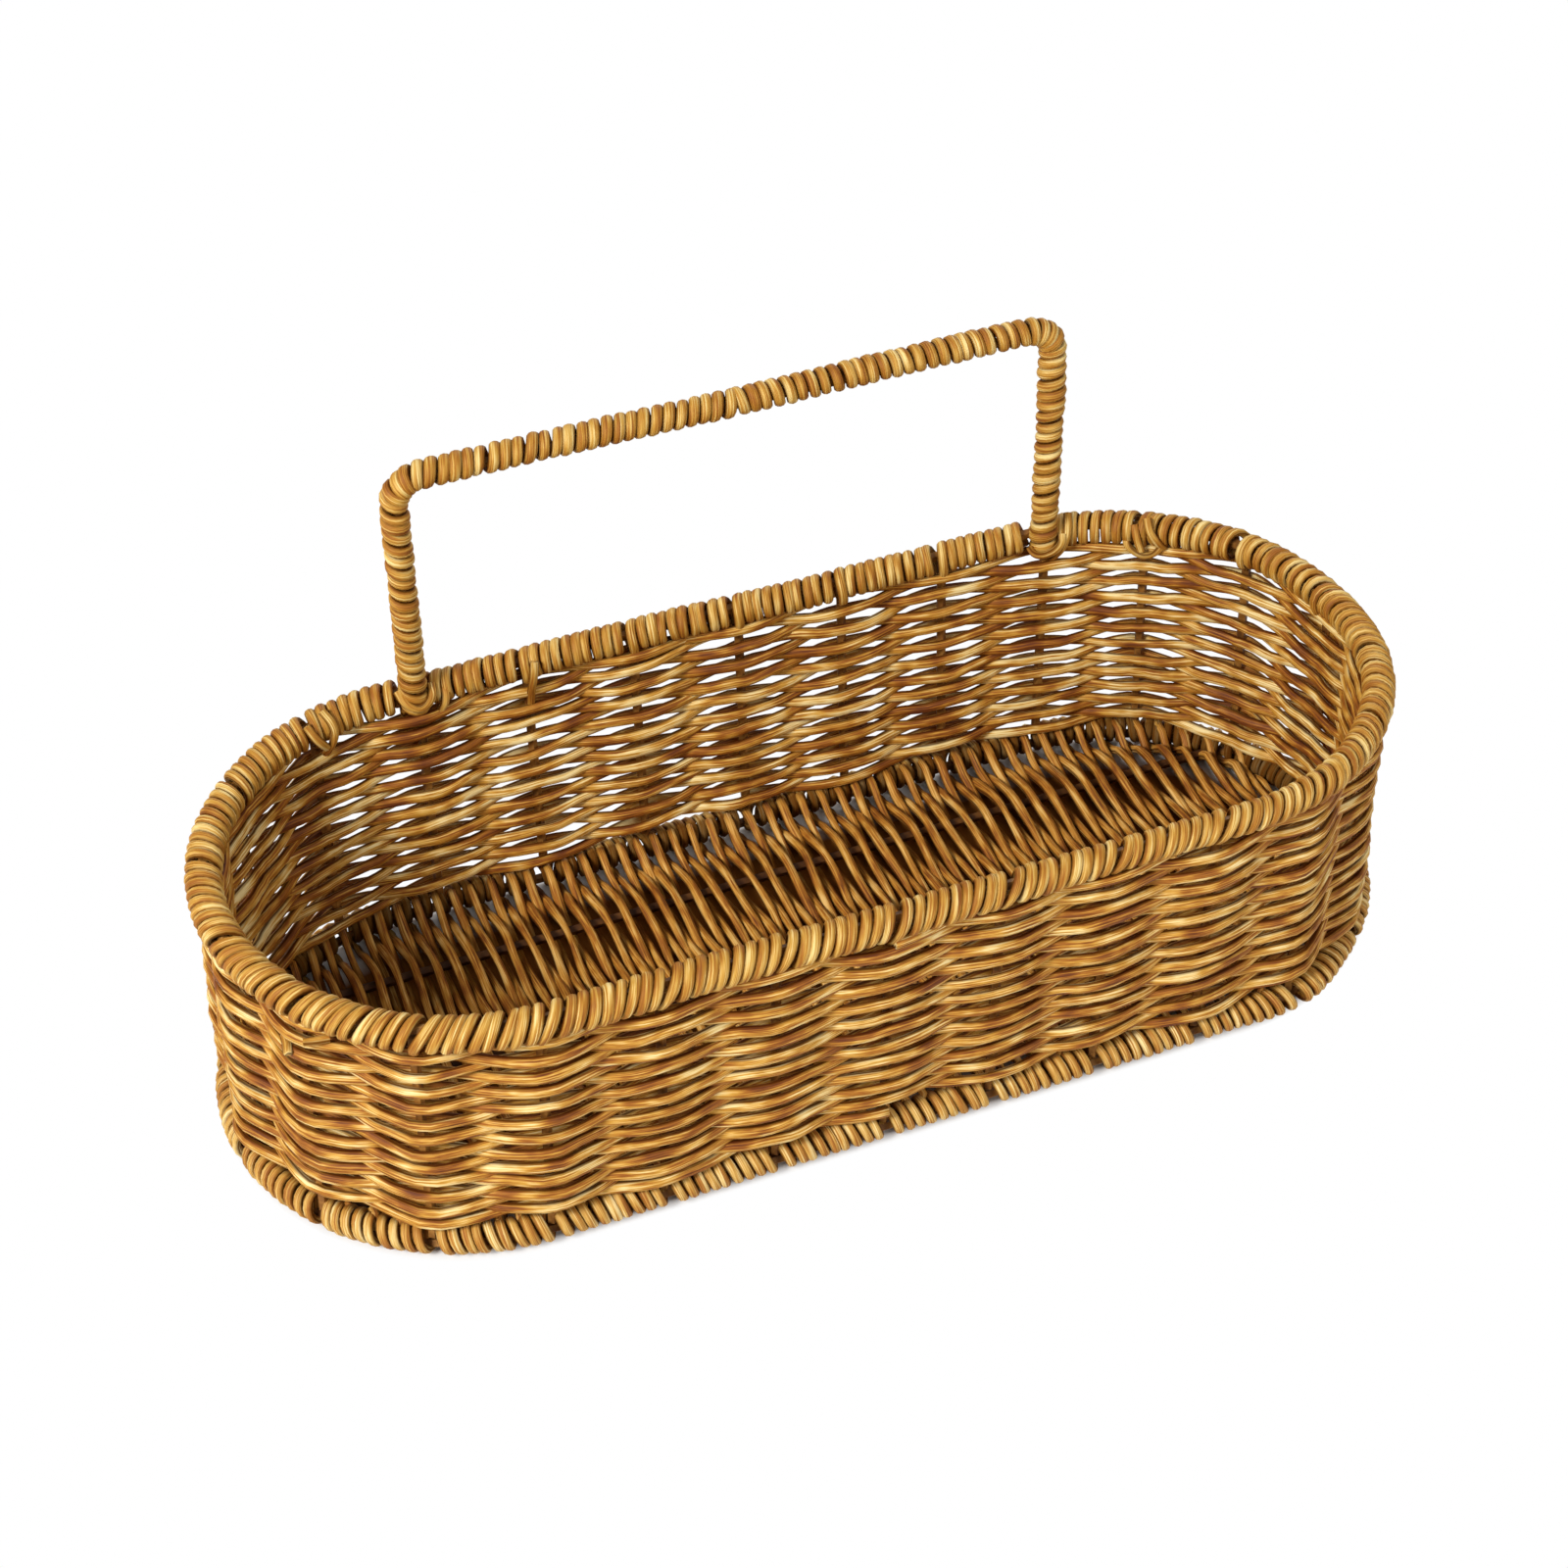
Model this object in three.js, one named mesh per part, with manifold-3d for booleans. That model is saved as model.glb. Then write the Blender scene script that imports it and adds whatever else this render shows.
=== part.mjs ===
// A long oval wicker garlic basket: wire frame, woven cane wall and base, lapped rims, fixed back handle.
// Millimetres, +X to the basket's right, +Y to its back, +Z up. The basket stands on z = 0.
import * as THREE from 'three';
import { mergeVertices } from 'three/addons/utils/BufferGeometryUtils.js';
import Module from 'manifold-3d';

const wasm = await Module();
wasm.setup();
const { Manifold, Mesh } = wasm;

// Driving sizes
const RIM_STRAIGHT = 198; // straight part of each long side, at the rim wire
const RIM_RADIUS = 71.5; // round ends, at the rim wire
const BASE_STRAIGHT = 208; // the ends lean out towards the base
const RIM_HEIGHT = 83.3; // middle of the rim wire above the table
const HANDLE_HEIGHT = 156.2; // middle of the handle's bar above the table
const HANDLE_WIDTH = 198; // between the middles of the handle's posts
const HANDLE_CORNER = 8; // bend of the handle wire, at its middle
const HANDLE_OFFSET = 7; // the handle sits this far right of the middle
const WIRE_RADIUS = 1.5; // 3 mm wire: rims, handle, stakes and base ribs
const CANE_RADIUS = 1.1; // weaving cane
const RIM_WRAP_RADIUS = 4.65; // outside of the cane lapped round the rim wire
const BASE_WRAP_RADIUS = 4.2;
const HANDLE_WRAP_RADIUS = 4.15;
const LAP_DEPTH = 0.8; // how deep the cane's turns show in a lapped wrap
const LAP_OFFSET = 0.9; // how far each turn leans along the wire
const GAP = 0.3; // between pieces that touch
const REST_CUT = 0.5; // depth of the flat that the basket stands on
const ROOM_UNDER_ROWS = 1.2; // from the base wrap to the first row of the wall
const ROOM_OVER_ROWS = 2.4; // from the last row to the rim wrap
const LASHING_RADIUS = 0.8;
const BASE_PASS_PITCH = 3.1; // from one crossing of the base to the next
const RIB_SPACING = 41; // from one base rib to the next

// Counts
const STAKES = 26; // the handle's two posts among them
const HANDLE_SPAN = 6; // stake spaces between the handle's posts
const WALL_ROWS = 24;
const WALL_WEAVERS = 2; // an even number of stakes takes two, which chase each other up the wall
const BASE_RIBS = 3;
const RIM_LAPS = 5; // turns of wrap shown in each stake space, half of the real ones
const BASE_LAPS = 4;
const HANDLE_LAPS = 64;
const WRAP_SIDES = 6;
const WIRE_SIDES = 5;
const WALL_CANE_SIDES = 4;
const BASE_CANE_SIDES = 3;
const LASHING_STEPS = 8;
const POST_ROOM_SIDES = 10; // of the round hole that lets the handle through the rim
const BEND_STEPS = 4; // of the handle tube, round each corner
const GAP_SAMPLES = 4; // points measured on each step of a cane's route

// What follows from them
const SEAT = 2 * WIRE_RADIUS + GAP; // from a wire's middle to that of the wire welded beside it
const BORE = WIRE_RADIUS + 1.5 * GAP; // inside of a wrap
const FLAT = Math.cos(Math.PI / WRAP_SIDES); // a wrap section's flats, as a share of its corners
const BASE_RADIUS = RIM_RADIUS - SEAT; // the handle's posts pass inside the rim wire to the base wire
const BASE_HEIGHT = BASE_WRAP_RADIUS * FLAT - REST_CUT;
const WEAVE = WIRE_RADIUS + CANE_RADIUS + GAP; // from a stake's middle to the cane that passes it
const STAKE_VALLEY = BORE + 2 * GAP; // the base wrap dips nearly to the wire at each stake
const ROW_START = BASE_HEIGHT + BASE_WRAP_RADIUS + CANE_RADIUS + ROOM_UNDER_ROWS;
const ROW_END = RIM_HEIGHT - RIM_WRAP_RADIUS - CANE_RADIUS - ROOM_OVER_ROWS;
const ROW_PITCH = (ROW_END - ROW_START) / WALL_ROWS;
const LASHING_HEIGHT = ROW_END + CANE_RADIUS + GAP + LASHING_RADIUS;
const RIB_HEIGHT = WEAVE + CANE_RADIUS + GAP;
const UP = new THREE.Vector3(0, 0, 1);

const CANE = { color: 0xb98a3e, roughness: 0.45, metalness: 0 };
const WEAVER = { color: 0xa97832, roughness: 0.5, metalness: 0 };
const WIRE = { color: 0x3a2a1c, roughness: 0.55, metalness: 0.3 };

const group = new THREE.Group();
group.name = 'garlic_basket';

// Ring shape

/** Point and outward direction on a long oval, at a distance from the middle of its back, going right. */
function oval(straight, radius, height, distance) {
  const arc = Math.PI * radius;
  const length = 2 * straight + 2 * arc;
  const s = (((distance + straight / 2) % length) + length) % length;
  const out = new THREE.Vector3(0, 1, 0);
  const p = new THREE.Vector3();
  const far = s >= straight + arc; // on the front and the left end
  const along = far ? s - straight - arc : s;
  if (along < straight) {
    p.set(along - straight / 2, radius, 0);
  } else {
    const turn = (along - straight) / radius;
    out.set(Math.sin(turn), Math.cos(turn), 0);
    p.copy(out).multiplyScalar(radius);
    p.x += straight / 2;
  }
  if (far) {
    p.negate();
    out.negate();
  }
  p.z = height;
  return { p, out, length };
}

/** Stakes stand at equal steps between the handle's posts, and at equal steps round the rest of the wall.
 *  The first is at the middle of the handle. */
function stakePoint(straight, radius, height, index) {
  const { length } = oval(straight, radius, height, 0);
  const fromLeftPost = (index + HANDLE_SPAN / 2 + STAKES) % STAKES;
  const beyond = Math.max(fromLeftPost - HANDLE_SPAN, 0);
  const distance = (Math.min(fromLeftPost, HANDLE_SPAN) / HANDLE_SPAN - 0.5) * HANDLE_WIDTH
    + (beyond / (STAKES - HANDLE_SPAN)) * (length - HANDLE_WIDTH);
  return oval(straight, radius, height, HANDLE_OFFSET + distance);
}

const postPlaces = [STAKES - HANDLE_SPAN / 2, HANDLE_SPAN / 2];
const stakes = Array.from({ length: STAKES }, (_, i) => {
  const foot = stakePoint(BASE_STRAIGHT, BASE_RADIUS, BASE_HEIGHT, i);
  const top = stakePoint(RIM_STRAIGHT, postPlaces.includes(i) ? BASE_RADIUS : RIM_RADIUS, RIM_HEIGHT, i);
  return { foot: foot.p, top: top.p, out: foot.out };
});
const handlePosts = postPlaces.map((place) => stakes[place]);

/** Where a stake is at a height. */
function stakeAt(stake, height) {
  return stake.foot.clone().lerp(stake.top, (height - stake.foot.z) / (stake.top.z - stake.foot.z));
}

// Making solids

/** A closed solid through rings of points, its ends capped or joined to each other. */
function loft(rings, joined) {
  const n = rings[0].length;
  const index = [];
  const last = joined ? rings.length : rings.length - 1;
  for (let i = 0; i < last; i++) {
    const a = i * n;
    const d = ((i + 1) % rings.length) * n;
    for (let j = 0; j < n; j++) {
      const k = (j + 1) % n;
      index.push(a + j, a + k, d + k, a + j, d + k, d + j);
    }
  }
  const end = (rings.length - 1) * n;
  for (let j = 1; j < n - 1 && !joined; j++) index.push(0, j + 1, j, end, end + j, end + j + 1);
  const geometry = new THREE.BufferGeometry().setFromPoints(rings.flat());
  geometry.setIndex(index);
  return geometry;
}

/** A ring of points round a path's frame {p, out, along}; lean shifts the turn's outer side along the path. */
function ringAt({ p, out, along }, radius, sides, lean = 0) {
  const rise = along.clone().cross(out);
  return Array.from({ length: sides }, (_, j) => {
    const angle = (2 * Math.PI * j) / sides;
    return p.clone()
      .addScaledVector(out, radius * Math.cos(angle))
      .addScaledVector(rise, radius * Math.sin(angle))
      .addScaledVector(along, lean * Math.cos(angle));
  });
}

function toSolid(geometry) {
  const bare = new THREE.BufferGeometry();
  bare.setAttribute('position', geometry.attributes.position);
  bare.setIndex(geometry.index);
  const merged = mergeVertices(bare, 1e-4);
  return new Manifold(new Mesh({
    numProp: 3,
    vertProperties: new Float32Array(merged.attributes.position.array),
    triVerts: new Uint32Array(merged.index.array),
  }));
}

function toGeometry(solid) {
  const { vertProperties, triVerts } = solid.getMesh();
  const geometry = new THREE.BufferGeometry();
  geometry.setAttribute('position', new THREE.BufferAttribute(vertProperties, 3));
  geometry.setIndex(new THREE.BufferAttribute(triVerts, 1));
  return geometry;
}

function addPiece(name, geometry, look) {
  const mesh = new THREE.Mesh(geometry, new THREE.MeshStandardMaterial(look));
  mesh.name = name;
  group.add(mesh);
  return mesh;
}

/** A straight rod between two points. */
function rod(from, to, radius, sides) {
  const geometry = new THREE.CylinderGeometry(radius, radius, from.distanceTo(to), sides);
  const turn = new THREE.Quaternion().setFromUnitVectors(
    new THREE.Vector3(0, 1, 0), to.clone().sub(from).normalize());
  return geometry.applyQuaternion(turn).translate(...from.clone().lerp(to, 0.5).toArray());
}

// Rims: a wire ring inside a lapped wrap

/** The frame of an oval ring at a share of its way round, counted in stake spaces. */
function ringFrame(straight, radius, height, stakeSpaces) {
  const { p, out } = stakePoint(straight, radius, height, stakeSpaces);
  return { p, out, along: out.clone().cross(UP) };
}

function ringTube(straight, radius, height, size) {
  const steps = 2 * STAKES;
  const frames = Array.from({ length: steps }, (_, i) => ringFrame(straight, radius, height, i / 2));
  return loft(frames.map((frame) => ringAt(frame, size, WIRE_SIDES)), true);
}

/** The lapped outside of a rim: crests and valleys by turns, a valley of its own at each stake, and a flat
 *  where it stands on the table. */
function lappedRing(straight, radius, height, size, laps, stakeValley) {
  const rings = [];
  for (let i = 0; i < STAKES; i++) {
    for (let lap = 0; lap < laps; lap++) {
      const valley = ringFrame(straight, radius, height, i + lap / laps);
      const crest = ringFrame(straight, radius, height, i + (lap + 0.5) / laps);
      rings.push(ringAt(valley, lap === 0 ? stakeValley : size - LAP_DEPTH, WRAP_SIDES, LAP_OFFSET));
      rings.push(ringAt(crest, size, WRAP_SIDES, LAP_OFFSET));
    }
  }
  for (const point of rings.flat()) {
    if (point.z < BASE_HEIGHT / 2) point.z = 0;
  }
  return toSolid(loft(rings, true)).subtract(toSolid(ringTube(straight, radius, height, BORE)));
}

/** An upright square hole that lets a stake through a wrap, from one height to another. */
function stakeHole(stake, from, to) {
  const middle = stakeAt(stake, (from + to) / 2);
  const side = 2 * (WIRE_RADIUS + GAP);
  const hole = new THREE.BoxGeometry(side, side, to - from);
  hole.rotateZ(Math.atan2(stake.out.y, stake.out.x)).translate(...middle.toArray());
  return toSolid(hole);
}

// Handle: one wire from the base up both posts, bent at two corners

function handleCurve(startHeight) {
  const [left, right] = handlePosts.map(({ top }) => top.clone().setZ(HANDLE_HEIGHT));
  const down = new THREE.Vector3(0, 0, -HANDLE_CORNER);
  const inward = new THREE.Vector3(HANDLE_CORNER, 0, 0);
  const [leftTop, rightTop] = handlePosts.map(({ top }) => top);
  const [leftFoot, rightFoot] = handlePosts.map((post) => stakeAt(post, startHeight));
  const path = new THREE.CurvePath();
  path.add(new THREE.LineCurve3(leftFoot, leftTop));
  path.add(new THREE.LineCurve3(leftTop, left.clone().add(down)));
  path.add(new THREE.QuadraticBezierCurve3(left.clone().add(down), left, left.clone().add(inward)));
  path.add(new THREE.LineCurve3(left.clone().add(inward), right.clone().sub(inward)));
  path.add(new THREE.QuadraticBezierCurve3(right.clone().sub(inward), right, right.clone().add(down)));
  path.add(new THREE.LineCurve3(right.clone().add(down), rightTop));
  path.add(new THREE.LineCurve3(rightTop, rightFoot));
  return path;
}

/** The handle's frame at a distance along its path; its outward side is the basket's back. */
function handleFrame(path, distance) {
  const share = distance / path.getLength();
  const along = path.getTangentAt(share);
  const out = new THREE.Vector3(0, 1, 0).addScaledVector(along, -along.y).normalize();
  return { p: path.getPointAt(share), out, along };
}

/** A plain tube along the handle, with rings at the ends of its straights and round each bend; a cutter's
 *  feet reach beyond the path. */
function handleTube(path, size, beyond = 0) {
  const rings = [];
  let start = 0;
  for (const piece of path.curves) {
    const length = piece.getLength();
    const steps = piece.isQuadraticBezierCurve3 ? BEND_STEPS : 1;
    for (let i = 0; i < steps; i++) {
      rings.push(ringAt(handleFrame(path, start + (length * i) / steps), size, WIRE_SIDES));
    }
    start += length;
  }
  rings.push(ringAt(handleFrame(path, start), size, WIRE_SIDES));
  for (const ring of [rings[0], rings[rings.length - 1]]) ring.forEach((point) => (point.z -= beyond));
  return loft(rings, false);
}

function lappedHandle(path, size) {
  const length = path.getLength();
  const rings = [ringAt(handleFrame(path, 0), size - LAP_DEPTH, WRAP_SIDES)];
  for (let i = 1; i < 2 * HANDLE_LAPS; i++) {
    const radius = i % 2 ? size : size - LAP_DEPTH;
    rings.push(ringAt(handleFrame(path, (length * i) / (2 * HANDLE_LAPS)), radius, WRAP_SIDES, LAP_OFFSET));
  }
  rings.push(ringAt(handleFrame(path, length), size - LAP_DEPTH, WRAP_SIDES));
  return toSolid(loft(rings, false));
}

// Wires
addPiece('rim_wire', ringTube(RIM_STRAIGHT, RIM_RADIUS, RIM_HEIGHT, WIRE_RADIUS), WIRE);
addPiece('base_wire', ringTube(BASE_STRAIGHT, BASE_RADIUS, BASE_HEIGHT, WIRE_RADIUS), WIRE);
addPiece('handle_wire', handleTube(handleCurve(BASE_HEIGHT + WIRE_RADIUS + GAP), WIRE_RADIUS), WIRE);

// Stakes, apart from the two that are the handle's posts
stakes.forEach((stake, i) => {
  if (handlePosts.includes(stake)) return;
  const foot = stakeAt(stake, BASE_HEIGHT + STAKE_VALLEY + 2 * GAP);
  const top = stakeAt(stake, RIM_HEIGHT - WIRE_RADIUS - GAP);
  addPiece(`stake_${String(i).padStart(2, '0')}`, rod(foot, top, WIRE_RADIUS, WIRE_SIDES), WIRE);
});

// Wraps
const below = RIM_HEIGHT - 2 * RIM_WRAP_RADIUS;
const above = RIM_HEIGHT + 2 * RIM_WRAP_RADIUS;
let rimWrap = lappedRing(
  RIM_STRAIGHT, RIM_RADIUS, RIM_HEIGHT, RIM_WRAP_RADIUS, RIM_LAPS, RIM_WRAP_RADIUS - LAP_DEPTH);
for (const stake of stakes.filter((each) => !handlePosts.includes(each))) {
  rimWrap = rimWrap.subtract(stakeHole(stake, below, RIM_HEIGHT));
}
for (const { top } of handlePosts) {
  const room = rod(
    top.clone().setZ(below), top.clone().setZ(above), HANDLE_WRAP_RADIUS + 2 * GAP,
    POST_ROOM_SIDES);
  rimWrap = rimWrap.subtract(toSolid(room));
}
addPiece('rim_wrap', toGeometry(rimWrap), CANE);

let baseWrap = lappedRing(
  BASE_STRAIGHT, BASE_RADIUS, BASE_HEIGHT, BASE_WRAP_RADIUS, BASE_LAPS, STAKE_VALLEY);
for (const post of handlePosts) {
  baseWrap = baseWrap.subtract(stakeHole(post, BASE_HEIGHT, BASE_HEIGHT + 2 * BASE_WRAP_RADIUS));
}
addPiece('base_wrap', toGeometry(baseWrap), CANE);

const handlePath = handleCurve(ROW_END + CANE_RADIUS + 2 * GAP);
const handleWrap = lappedHandle(handlePath, HANDLE_WRAP_RADIUS)
  .subtract(toSolid(handleTube(handlePath, BORE, BORE)))
  .subtract(toSolid(ringTube(RIM_STRAIGHT, RIM_RADIUS, RIM_HEIGHT, BORE)));
addPiece('handle_wrap', toGeometry(handleWrap), CANE);

// Lashings: a loop of cane round the stakes just outside the handle, under the rim
for (const [name, i] of [['left', postPlaces[0] - 1], ['right', postPlaces[1] + 1]]) {
  const thickness = LASHING_RADIUS + WIRE_RADIUS + GAP;
  const loop = new THREE.TorusGeometry(thickness, LASHING_RADIUS, WALL_CANE_SIDES, LASHING_STEPS);
  const lashing = addPiece(`rim_lashing_${name}`, loop, CANE);
  lashing.position.copy(stakeAt(stakes[i], LASHING_HEIGHT));
}

// Wall: canes wound up the stakes, each starting its share of the way round, outside and inside by turns

/** A weaver's route. It is outside the stakes that the other weaver is inside. */
function wallRoute(weaver) {
  const first = (weaver * STAKES) / WALL_WEAVERS;
  return Array.from({ length: (WALL_ROWS / WALL_WEAVERS) * STAKES + 1 }, (_, k) => {
    const stake = stakes[(first + k) % STAKES];
    const side = (first + k + weaver) % 2 ? -WEAVE : WEAVE;
    const height = ROW_START + (WALL_WEAVERS * ROW_PITCH * k) / STAKES;
    return stakeAt(stake, height).addScaledVector(stake.out, side);
  });
}

/** A tube of a few sides through points, mitred at each, that keeps its upright axis. */
function caneTube(points, radius, sides, up) {
  const rings = points.map((p, i) => {
    const before = points[Math.max(i - 1, 0)];
    const after = points[Math.min(i + 1, points.length - 1)];
    const arrive = p.clone().sub(before).normalize();
    const leave = after.clone().sub(p).normalize();
    const along = arrive.clone().add(leave).normalize();
    const out = up.clone().cross(along).normalize();
    const mitre = i > 0 && i < points.length - 1 ? 1 / along.dot(leave) : 1;
    const rise = along.clone().cross(out);
    return Array.from({ length: sides }, (_, j) => {
      const angle = (2 * Math.PI * j) / sides + Math.PI / 2;
      return p.clone()
        .addScaledVector(out, radius * mitre * Math.cos(angle))
        .addScaledVector(rise, radius * Math.sin(angle));
    });
  });
  return loft(rings, false);
}

/** The least gap between stretches of one cane that aren't next to each other along it. */
function selfGap(route, radius) {
  const near = 8 * radius; // as far along the cane as this, stretches are next to each other
  const samples = [];
  let travelled = 0;
  for (let i = 1; i < route.length; i++) {
    const length = route[i].distanceTo(route[i - 1]);
    for (let step = 0; step < GAP_SAMPLES; step++) {
      const share = step / GAP_SAMPLES;
      samples.push({ p: route[i - 1].clone().lerp(route[i], share), at: travelled + length * share });
    }
    travelled += length;
  }
  let least = Infinity;
  samples.forEach((a, i) => {
    for (const b of samples.slice(i + 1)) {
      if (b.at - a.at > near) least = Math.min(least, a.p.distanceTo(b.p));
    }
  });
  return least - 2 * radius;
}

for (let weaver = 0; weaver < WALL_WEAVERS; weaver++) {
  const name = `wall_weaver_${weaver + 1}`;
  const route = wallRoute(weaver);
  addPiece(name, caneTube(route, CANE_RADIUS, WALL_CANE_SIDES, UP), WEAVER);
  console.log(`${name}: least gap to itself ${selfGap(route, CANE_RADIUS).toFixed(2)} mm`);
}

// Base: ribs from end to end, and one cane that runs to and fro across them
const baseInside = BASE_RADIUS - BASE_WRAP_RADIUS - GAP; // radius of the room inside the base rim

/** Half the room across an oval at a place along it, where its round ends have this radius. */
function halfWidth(place, radius) {
  const beyond = Math.max(Math.abs(place) - BASE_STRAIGHT / 2, 0);
  return beyond < radius ? Math.sqrt(radius ** 2 - beyond ** 2) : 0;
}

const ribs = Array.from({ length: BASE_RIBS }, (_, i) => {
  const y = (i - (BASE_RIBS - 1) / 2) * RIB_SPACING;
  return { y, reach: BASE_STRAIGHT / 2 + Math.sqrt(baseInside ** 2 - (Math.abs(y) + WIRE_RADIUS) ** 2) };
});
ribs.forEach(({ y, reach }, i) => {
  const left = new THREE.Vector3(-reach, y, RIB_HEIGHT);
  const right = new THREE.Vector3(reach, y, RIB_HEIGHT);
  addPiece(`base_rib_${i + 1}`, rod(left, right, WIRE_RADIUS, WIRE_SIDES), WIRE);
});

/** How far from the middle a pass at x reaches, stopping clear of a rib's end that it can't cross. */
function passReach(x) {
  const room = halfWidth(x, baseInside - CANE_RADIUS);
  const blocked = ribs.find(({ y }) => Math.abs(room - Math.abs(y)) < WEAVE + GAP);
  return blocked ? Math.abs(blocked.y) - WEAVE - GAP : room;
}

const longest = ribs[Math.floor(BASE_RIBS / 2)];
const outermost = Math.floor(longest.reach / BASE_PASS_PITCH - 0.5);
const baseRoute = [];
for (let i = -outermost; i <= outermost; i++) {
  const x = i * BASE_PASS_PITCH;
  const side = i % 2 ? -1 : 1; // to the back, then to the front
  const start = Math.min(passReach(x), passReach(x - BASE_PASS_PITCH) || Infinity);
  const end = Math.min(passReach(x), passReach(x + BASE_PASS_PITCH) || Infinity);
  const crossed = ribs
    .map(({ y }, rib) => new THREE.Vector3(x, y, RIB_HEIGHT + ((rib + i) % 2 ? -WEAVE : WEAVE)))
    .filter(({ y }) => y * side > -start && y * side < end);
  if (side < 0) crossed.reverse();
  baseRoute.push(new THREE.Vector3(x, -start * side, RIB_HEIGHT), ...crossed);
  baseRoute.push(new THREE.Vector3(x, end * side, RIB_HEIGHT));
}
addPiece('base_weaver', caneTube(baseRoute, CANE_RADIUS, BASE_CANE_SIDES, UP), WEAVER);
console.log(`base_weaver: least gap to itself ${selfGap(baseRoute, CANE_RADIUS).toFixed(2)} mm`);

export default group;
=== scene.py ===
# %% [markdown]
# # A long oval wicker garlic basket
# The wires, stakes and ribs of this basket come in at real size, as a fixed frame. This lesson
# adds what a basket maker adds to such a frame: the woven wall and base, the cane lapped round
# the rims and the handle, the knots, and the finish of every surface. Lengths are metres.
# +X runs along the basket to its right end, +Y to its back, where the handle is, and +Z is up.

# %% Load the frame
import math
import random
from collections import namedtuple

import bmesh
import bpy
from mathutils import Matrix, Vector, noise


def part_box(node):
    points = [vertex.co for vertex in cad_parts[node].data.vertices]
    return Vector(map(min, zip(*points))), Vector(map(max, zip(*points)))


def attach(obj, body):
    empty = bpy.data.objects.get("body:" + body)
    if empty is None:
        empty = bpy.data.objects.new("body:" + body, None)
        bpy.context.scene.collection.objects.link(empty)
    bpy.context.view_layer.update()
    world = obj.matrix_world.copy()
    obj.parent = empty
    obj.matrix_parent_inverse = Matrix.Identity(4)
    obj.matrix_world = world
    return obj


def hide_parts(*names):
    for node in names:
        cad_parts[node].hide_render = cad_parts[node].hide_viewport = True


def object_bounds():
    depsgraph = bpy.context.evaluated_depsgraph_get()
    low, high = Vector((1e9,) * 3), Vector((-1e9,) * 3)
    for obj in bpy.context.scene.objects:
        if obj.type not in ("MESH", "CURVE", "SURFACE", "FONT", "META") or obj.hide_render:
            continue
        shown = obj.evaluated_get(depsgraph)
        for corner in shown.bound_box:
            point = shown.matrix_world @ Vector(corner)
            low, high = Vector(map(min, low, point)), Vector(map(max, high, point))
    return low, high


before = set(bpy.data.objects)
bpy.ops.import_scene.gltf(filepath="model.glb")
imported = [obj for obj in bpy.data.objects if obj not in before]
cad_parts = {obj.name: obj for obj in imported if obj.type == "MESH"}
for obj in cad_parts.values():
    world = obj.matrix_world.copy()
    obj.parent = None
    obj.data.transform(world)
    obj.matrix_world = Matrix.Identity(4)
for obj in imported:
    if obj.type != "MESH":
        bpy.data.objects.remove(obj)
cad_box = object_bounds()
MM = 0.001
chance = random.Random(11)
far_corner = [round(c / MM, 1) for c in cad_box[1]]
print("frame:", len(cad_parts), "nodes, reaching to", far_corner, "mm")

# %% [markdown]
# The camera stands in front of the basket's left end and looks down on it. Its place and focal
# length were worked out from the rims' ovals in the photograph, so the picture has the same
# perspective. Turning the camera a little about its own axis gives the photograph's slight tilt.

# %% Camera
CAMERA_AT = Vector((-264.9, -640.1, 647.6)) * MM
CAMERA_AIM = Vector((-5.2, 6.1, 69.5)) * MM
CAMERA_TILT = math.radians(-0.857)
FOCAL_LENGTH = 73.81  # for a sensor 36 mm wide

camera = bpy.data.objects.new("camera", bpy.data.cameras.new("camera"))
bpy.context.scene.collection.objects.link(camera)
camera.data.lens = FOCAL_LENGTH
camera.location = CAMERA_AT
look = (CAMERA_AIM - CAMERA_AT).to_track_quat("-Z", "Y").to_euler()
look.rotate_axis("Z", CAMERA_TILT)
camera.rotation_euler = look
bpy.context.scene.camera = camera
print("camera:", round((CAMERA_AIM - CAMERA_AT).length, 3), "m from the basket")

# %% [markdown]
# Both rims are ovals: two straight sides with round ends. Everything on this basket lies at some
# distance round such an oval, so one function gives the place and the outward direction there.
# The rims' sizes are read from the frame's own wires.

# %% Ovals
WIRE = 1.5 * MM  # radius of the frame's wire
UP = Vector((0, 0, 1))
Ring = namedtuple("Ring", "straight radius height")


def ring_of(node):
    """The oval that a ring of wire in the frame follows."""
    low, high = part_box(node)
    wide = high[1] - low[1]
    return Ring(high[0] - low[0] - wide, wide / 2 - WIRE, (low[2] + high[2]) / 2)


def perimeter(ring):
    return 2 * ring.straight + 2 * math.pi * ring.radius


def oval(ring, distance):
    """A point on an oval and the way out there, a distance to the right of the middle of its back."""
    arc = math.pi * ring.radius
    place = (distance + ring.straight / 2) % perimeter(ring)
    far = place >= ring.straight + arc
    if far:
        place -= ring.straight + arc
    out = Vector((0, 1, 0))
    point = Vector((place - ring.straight / 2, ring.radius, 0))
    if place > ring.straight:
        turn = (place - ring.straight) / ring.radius
        out = Vector((math.sin(turn), math.cos(turn), 0))
        point = out * ring.radius + Vector((ring.straight / 2, 0, 0))
    if far:
        point, out = -point, -out
    point.z = ring.height
    return point, out


rim = ring_of("rim_wire")
base = ring_of("base_wire")
print("rim:", [round(v / MM, 1) for v in rim], "base:", [round(v / MM, 1) for v in base])

# %% [markdown]
# The wall has 26 stakes, and two of them are the posts of the handle's wire. Weaving and lapping
# are counted from stake to stake. So a place round the basket is told as a number of stake spaces
# from the middle of the handle, and one function turns that number into a distance.

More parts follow.
